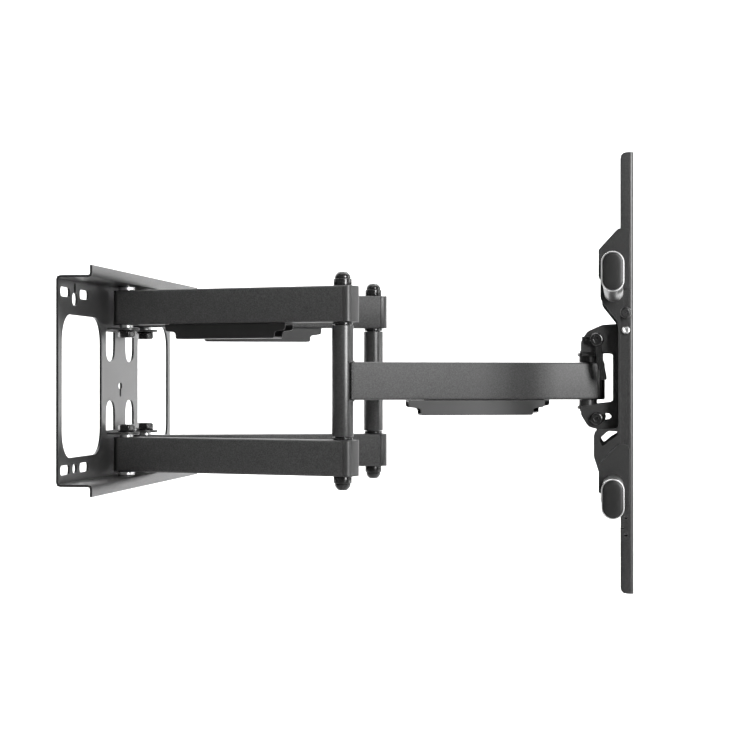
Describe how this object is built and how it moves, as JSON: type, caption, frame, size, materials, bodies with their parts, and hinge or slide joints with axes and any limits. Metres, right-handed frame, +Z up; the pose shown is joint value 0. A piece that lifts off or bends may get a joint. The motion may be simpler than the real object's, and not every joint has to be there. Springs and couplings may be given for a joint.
{
  "type": "full motion tv wall mount",
  "caption": "Full motion wall mount for a flat screen: pressed wall plate, folding arms, tilting head, cross rails and hook-on screen brackets that slide along the rails.",
  "frame": {"origin": "on the wall, in the middle of the wall plate's back face", "axes": "+X out from the wall towards the screen, +Y along the wall, +Z up"},
  "size_m": [0.5784, 0.6306, 0.434],
  "materials": {
    "powder_coat": "fine textured black powder coat",
    "arm_coat": "fine textured black powder coat",
    "black_plastic": "fine grained black plastic",
    "black_bolt": "satin black oxide",
    "zinc": "bright zinc"
  },
  "bodies": {
    "wall": {"wall_plate": "powder_coat", "wall_pivot_bolt_upper_near": "black_bolt", "wall_pivot_bolt_upper_far": "black_bolt", "wall_pivot_bolt_lower_near": "black_bolt", "wall_pivot_bolt_lower_far": "black_bolt", "wall_pivot_bush_upper_near": "zinc", "wall_pivot_bush_upper_far": "zinc", "wall_pivot_bush_lower_near": "zinc", "wall_pivot_bush_lower_far": "zinc"},
    "rear_arms_near": {"rear_arm_upper_near": "arm_coat", "rear_arm_lower_near": "arm_coat", "rear_arm_cap_upper_near": "black_plastic", "rear_arm_cap_lower_near": "black_plastic", "rear_cable_clip_near": "black_plastic", "elbow_bolt_near": "black_bolt", "elbow_nut_near": "black_bolt"},
    "front_arm_near": {"front_arm_near": "arm_coat", "front_arm_cap_near": "black_plastic", "front_cable_clip_near": "black_plastic", "elbow_bush_upper_near": "black_bolt", "elbow_bush_lower_near": "black_bolt"},
    "rear_arms_far": {"rear_arm_upper_far": "arm_coat", "rear_arm_lower_far": "arm_coat", "rear_arm_cap_upper_far": "black_plastic", "rear_arm_cap_lower_far": "black_plastic", "rear_cable_clip_far": "black_plastic", "elbow_bolt_far": "black_bolt", "elbow_nut_far": "black_bolt"},
    "front_arm_far": {"front_arm_far": "arm_coat", "front_arm_cap_far": "black_plastic", "front_cable_clip_far": "black_plastic", "elbow_bush_upper_far": "black_bolt", "elbow_bush_lower_far": "black_bolt"},
    "head": {"swivel_bracket": "powder_coat", "head_pin_near": "black_bolt", "head_pin_far": "black_bolt", "tilt_rod_upper": "black_bolt", "tilt_rod_lower": "black_bolt"},
    "tilt_lever": {"tilt_lever": "black_bolt"},
    "tilt_frame": {"tilt_bracket": "powder_coat", "centre_plate": "powder_coat", "rail_upper": "powder_coat", "rail_lower": "powder_coat", "rail_cap_upper_near": "black_plastic", "rail_cap_upper_far": "black_plastic", "rail_cap_lower_near": "black_plastic", "rail_cap_lower_far": "black_plastic"},
    "screen_bracket_near": {"bracket_channel_near": "powder_coat", "bracket_hook_upper_near": "powder_coat", "bracket_hook_lower_near": "powder_coat", "lock_knob_near": "black_plastic", "guard_screw_near": "zinc"},
    "screen_bracket_far": {"bracket_channel_far": "powder_coat", "bracket_hook_upper_far": "powder_coat", "bracket_hook_lower_far": "powder_coat", "lock_knob_far": "black_plastic", "guard_screw_far": "zinc"}
  },
  "joints": [
    {"name": "near_rear_fold", "type": "hinge", "parent": "wall", "child": "rear_arms_near", "pos_m": [0.0205, -0.04, 0], "axis": [0, 0, -1], "range_deg": [-10, 65]},
    {"name": "far_rear_fold", "type": "hinge", "parent": "wall", "child": "rear_arms_far", "pos_m": [0.0205, 0.04, 0], "axis": [0, 0, 1], "range_deg": [-10, 65]},
    {"name": "near_elbow", "type": "hinge", "parent": "rear_arms_near", "child": "front_arm_near", "pos_m": [0.27543, -0.12038, 0], "axis": [0, 0, 1], "range_deg": [-20, 130]},
    {"name": "far_elbow", "type": "hinge", "parent": "rear_arms_far", "child": "front_arm_far", "pos_m": [0.27543, 0.12038, 0], "axis": [0, 0, -1], "range_deg": [-20, 130]},
    {"name": "head_hinge", "type": "hinge", "parent": "front_arm_near", "child": "head", "pos_m": [0.53036, -0.04, 0], "axis": [0, 0, -1], "range_deg": [-10, 65]},
    {"name": "tilt", "type": "hinge", "parent": "head", "child": "tilt_frame", "pos_m": [0.54036, 0, 0.002], "axis": [0, -1, 0], "range_deg": [-15, 5]},
    {"name": "lever_turn", "type": "hinge", "parent": "head", "child": "tilt_lever", "pos_m": [0.54036, -0.0665, 0.044], "axis": [0, -1, 0], "range_deg": [-40, 0]},
    {"name": "bracket_slide_near", "type": "slide", "parent": "tilt_frame", "child": "screen_bracket_near", "axis": [0, -1, 0], "range_m": [-0.08, 0.08]},
    {"name": "bracket_slide_far", "type": "slide", "parent": "tilt_frame", "child": "screen_bracket_far", "axis": [0, 1, 0], "range_m": [-0.08, 0.08]}
  ],
  "couplings": [
    {"joint": "far_rear_fold", "follows": "near_rear_fold", "ratio": 1},
    {"joint": "near_elbow", "follows": "near_rear_fold", "ratio": 2},
    {"joint": "far_elbow", "follows": "near_rear_fold", "ratio": 2},
    {"joint": "head_hinge", "follows": "near_rear_fold", "ratio": 1}
  ]
}
